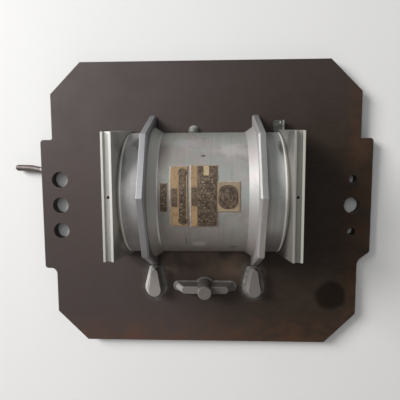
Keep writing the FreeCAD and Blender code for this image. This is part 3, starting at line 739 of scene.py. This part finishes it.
def pad_stations(width, length, corner):
    """Places along a round-cornered pad, each with half the pad's width there."""
    turns = [math.radians(t) for t in (0.0, 22.5, 45.0, 67.5, 90.0)]
    end = [(corner * (1 - math.cos(t)), width / 2 - corner * (1 - math.sin(t))) for t in turns]
    steps = max(1, round((length - 2 * corner) / pad_step))
    stations = [(-length / 2 + reach, half) for reach, half in end]
    stations += [(-length / 2 + corner + (length - 2 * corner) * i / steps, width / 2)
                 for i in range(1, steps)]
    return stations + [(length / 2 - reach, half) for reach, half in reversed(end)]


def raised_pad(mesh, x, arc, width, length, height, corner):
    """Adds a round-cornered pad with sloping sides to a bmesh, bent round the barrel."""
    rows = []
    for place, half in pad_stations(width, length, corner):
        half = max(half, width * pad_end_width)
        inside = abs(place) < length / 2 - 1e-7
        lift = height if inside else height * pad_end_lift
        top = max(half - height * pad_slope, half * 0.5)
        section = ((-half, -root_sink), (-top, lift), (top, lift), (half, -root_sink))
        rows.append([mesh.verts.new(wrap(x + across, arc + place, up)) for across, up in section])
    join_rings(mesh, rows, back_to_first=False)
    mesh.faces.new(rows[0])
    mesh.faces.new(list(reversed(rows[-1])))


def raised_ring(mesh, x, arc, reach_x, reach_arc, width, height):
    """Adds a raised oval ring to a bmesh, its ridge width wide."""
    rings = []
    for inset, lift in ((0.0, -root_sink), (width * 0.3, height), (width * 0.7, height),
                        (width, -root_sink)):
        turns = [2 * math.pi * step / ring_steps for step in range(ring_steps)]
        rings.append([mesh.verts.new(wrap(x + (reach_x - inset) * math.cos(turn),
                                          arc + (reach_arc - inset) * math.sin(turn), lift))
                      for turn in turns])
    join_rings(mesh, rings)


def short_bars(mesh, x0, x1, arcs, bar_width, height, seed):
    """Adds a row of plain rounded bars of uneven length between x0 and x1 at each arc."""
    for row, arc in enumerate(arcs):
        x = x0
        step = 0
        while x < x1 - bar_rest:
            uneven = 0.5 + 0.5 * math.sin(seed + 2.3 * row + 1.7 * step)
            length = min(bar_least + bar_spread * uneven, x1 - x)
            raised_pad(mesh, x + length / 2, arc, width=length, length=bar_width, height=height,
                       corner=bar_width * bar_corner)
            x += length + bar_gap
            step += 1


def piece_from(mesh, name, material):
    """Makes a bmesh into a piece that rides on the part."""
    bmesh.ops.recalc_face_normals(mesh, faces=mesh.faces)
    data = bpy.data.meshes.new(name)
    mesh.to_mesh(data)
    mesh.free()
    piece = bpy.data.objects.new(name, data)
    bpy.context.scene.collection.objects.link(piece)
    data.materials.append(material)
    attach(piece, "root")


def bar_plate_relief(patina, rubbed):
    """Raised column with a round boss at each end, and a small panel beside it."""
    x0, x1, _, _ = plate_span("marking_bar_plate")
    column_x = x1 - 0.0063
    boss_arc = arc_at(20.3)
    mesh = bmesh.new()
    raised_pad(mesh, column_x, 0.0, width=0.0094, length=2 * boss_arc, height=0.0006, corner=0.001)
    for end in (-1, 1):
        raised_pad(mesh, column_x, end * boss_arc, width=0.0122, length=0.0122, height=0.0009,
                   corner=0.0060)
    raised_pad(mesh, x0 + 0.0046, arc_at(-0.5), width=0.0078, length=arc_at(15.0), height=0.0006,
               corner=0.0008)
    piece_from(mesh, "bar_plate_panels", patina)

    mesh = bmesh.new()
    for end in (-1, 1):
        raised_ring(mesh, column_x, end * boss_arc, 0.0048, 0.0048, width=0.0012, height=0.0013)
    short_bars(mesh, column_x - 0.0030, column_x + 0.0034,
               even_arcs(-0.8 * boss_arc, 0.8 * boss_arc, 11),
               bar_width=0.0017, height=0.0011, seed=0.4)
    short_bars(mesh, x0 + 0.0020, x0 + 0.0076, even_arcs(arc_at(-6.5), arc_at(5.5), 4),
               bar_width=0.0017, height=0.0011, seed=1.9)
    piece_from(mesh, "bar_plate_ridges", rubbed)


def block_plate_relief(patina, rubbed, bright):
    """Raised panel with rows of plain bars, a small panel beside it and one bare brass pad."""
    x0, x1, arc0, arc1 = plate_span("marking_block_plate")
    split = x0 + 0.0073
    mesh = bmesh.new()
    raised_pad(mesh, (split + x1) / 2, (arc0 + arc1) / 2, width=x1 - split - 0.0006,
               length=arc1 - arc0 - 0.001, height=0.0006, corner=0.0012)
    raised_pad(mesh, (x0 + split) / 2, arc_at(0.3), width=0.0066, length=arc_at(15.0),
               height=0.0007, corner=0.0008)
    piece_from(mesh, "block_plate_panels", patina)

    mesh = bmesh.new()
    short_bars(mesh, split + 0.0016, x1 - 0.0014, even_arcs(arc0 + 0.003, arc_at(15.5), 17),
               bar_width=0.0018, height=0.0011, seed=3.1)
    short_bars(mesh, split + 0.0016, split + 0.0078, even_arcs(arc_at(16.5), arc_at(24.5), 3),
               bar_width=0.0018, height=0.0011, seed=5.1)
    short_bars(mesh, x0 + 0.0014, split - 0.0014, even_arcs(arc_at(-6.0), arc_at(6.4), 4),
               bar_width=0.0018, height=0.0012, seed=4.2)
    piece_from(mesh, "block_plate_ridges", rubbed)

    mesh = bmesh.new()
    raised_pad(mesh, x0 + 0.0197, arc_at(21.6), width=0.0080, length=arc_at(8.2), height=0.0010,
               corner=0.0008)
    piece_from(mesh, "block_plate_bare_pad", bright)


def disc_plate_relief(patina, rubbed):
    """Round-cornered raised boss with plain concentric rings."""
    x0, x1, arc0, arc1 = plate_span("marking_disc_plate")
    x, arc = (x0 + x1) / 2 - 0.0004, (arc0 + arc1) / 2
    reach = (x1 - x0) / 2 - 0.0016
    mesh = bmesh.new()
    raised_pad(mesh, x, arc, width=2 * reach, length=2.45 * reach, height=0.0007, corner=0.0105)
    piece_from(mesh, "disc_plate_boss", patina)

    mesh = bmesh.new()
    for share in (0.88, 0.52):
        raised_ring(mesh, x, arc, share * reach, 1.15 * share * reach, width=0.0012, height=0.0013)
    raised_pad(mesh, x, arc, width=0.0042, length=0.0042, height=0.0012, corner=0.002)
    piece_from(mesh, "disc_plate_rings", rubbed)


def strip_relief(rubbed):
    """Row of plain bars along the narrow strip."""
    x0, x1, arc0, arc1 = plate_span("marking_strip")
    mesh = bmesh.new()
    short_bars(mesh, x0 + 0.0010, x1 - 0.0008, even_arcs(arc0 + 0.001, arc1 - 0.001, 9),
               bar_width=0.0019, height=0.0008, seed=2.6)
    piece_from(mesh, "strip_bars", rubbed)


def outline_points(x0, x1, arc0, arc1):
    """Points at short steps round the outline of a brass plate."""
    corners = ((x0, arc0), (x1, arc0), (x1, arc1), (x0, arc1))
    path = []
    for (ax, aa), (bx, ba) in zip(corners, corners[1:] + corners[:1]):
        steps = max(4, round(math.hypot(bx - ax, ba - aa) / solder_step))
        path += [(ax + (bx - ax) * i / steps, aa + (ba - aa) * i / steps) for i in range(steps)]
    return path


def solder_bead(node, material):
    """Uneven solder fillet round a brass plate, from the barrel up to just under the plate's face."""
    x0, x1, arc0, arc1 = plate_span(node)
    mid_x, mid_arc = (x0 + x1) / 2, (arc0 + arc1) / 2
    path = outline_points(x0, x1, arc0, arc1)
    mesh = bmesh.new()
    rings = []
    for grow, lift in ((-0.0003, -0.0013), (-0.0003, -0.0002), (0.0006, -0.0005), (0.0023, -0.00135)):
        ring = []
        for i, (x, arc) in enumerate(path):
            swell = 1.0 + 0.20 * math.sin(1.9 * i) + 0.16 * math.sin(0.73 * i + 1.0)
            reach = grow * swell if grow > 0 else grow
            ring.append(mesh.verts.new(wrap(x + math.copysign(reach, x - mid_x),
                                            arc + math.copysign(reach, arc - mid_arc), lift)))
        rings.append(ring)
    join_rings(mesh, rings)
    piece_from(mesh, node.replace("marking_", "") + "_solder", material)


def label_relief():
    """All relief and solder on the four brass plates; it is generic and spells nothing."""
    patina = dark_patina("brown_patina", 7.0)
    rubbed = rubbed_marks()
    bright = brass("bare_brass", 9.0, (0.46, 0.36, 0.215))
    bar_plate_relief(patina, rubbed)
    block_plate_relief(patina, rubbed, bright)
    disc_plate_relief(patina, rubbed)
    strip_relief(rubbed)
    grey = solder()
    for node in ("marking_strip", "marking_bar_plate", "marking_block_plate", "marking_disc_plate"):
        solder_bead(node, grey)


# ---------------------------------------------------------------- camera, floor and light
def camera():
    """Looks almost straight down, a little from the upper right of the plate's centre."""
    data = bpy.data.cameras.new("camera")
    data.sensor_width = camera_sensor
    data.lens = camera_lens
    eye = bpy.data.objects.new("camera", data)
    eye.location = camera_place
    eye.rotation_mode = "ZYX"
    eye.rotation_euler = camera_turns
    bpy.context.scene.collection.objects.link(eye)
    bpy.context.scene.camera = eye


def floor():
    """Wide pale floor, a hair under the plate so that the two faces never share a plane."""
    bpy.ops.mesh.primitive_plane_add(size=floor_width, location=(0, 0, -floor_gap))
    ground = bpy.context.object
    ground.name = "studio_floor"
    ground.data.materials.append(pale_floor())


def lamp(name, place, size, watts, colour):
    """Square soft box aimed at the middle of the part."""
    data = bpy.data.lights.new(name, "AREA")
    data.size = size
    data.energy = watts
    data.color = colour
    box = bpy.data.objects.new(name, data)
    box.location = place
    aim = Vector((0, 0, plate_top)) - Vector(place)
    box.rotation_euler = aim.to_track_quat("-Z", "Y").to_euler()
    bpy.context.scene.collection.objects.link(box)


def light():
    """Soft key from the upper left, a weak overhead, a warm fill from the front and an even surround."""
    world = bpy.data.worlds.new("surround")
    world.use_nodes = True
    background = world.node_tree.nodes["Background"]
    background.inputs["Color"].default_value = (0.93, 0.96, 1.0, 1.0)
    background.inputs["Strength"].default_value = 0.18
    bpy.context.scene.world = world
    lamp("key", (-2.40, 1.30, 1.72), size=1.5, watts=132.0, colour=(1.0, 0.99, 0.98))
    lamp("overhead", (-0.80, 0.90, 2.60), size=1.6, watts=14.0, colour=(0.96, 0.98, 1.0))
    lamp("warm_fill", (0.50, -2.00, 1.30), size=1.2, watts=5.0, colour=(1.0, 0.78, 0.66))
    bpy.context.scene.view_settings.view_transform = "Standard"


dress_all()
label_relief()
camera()
floor()
light()
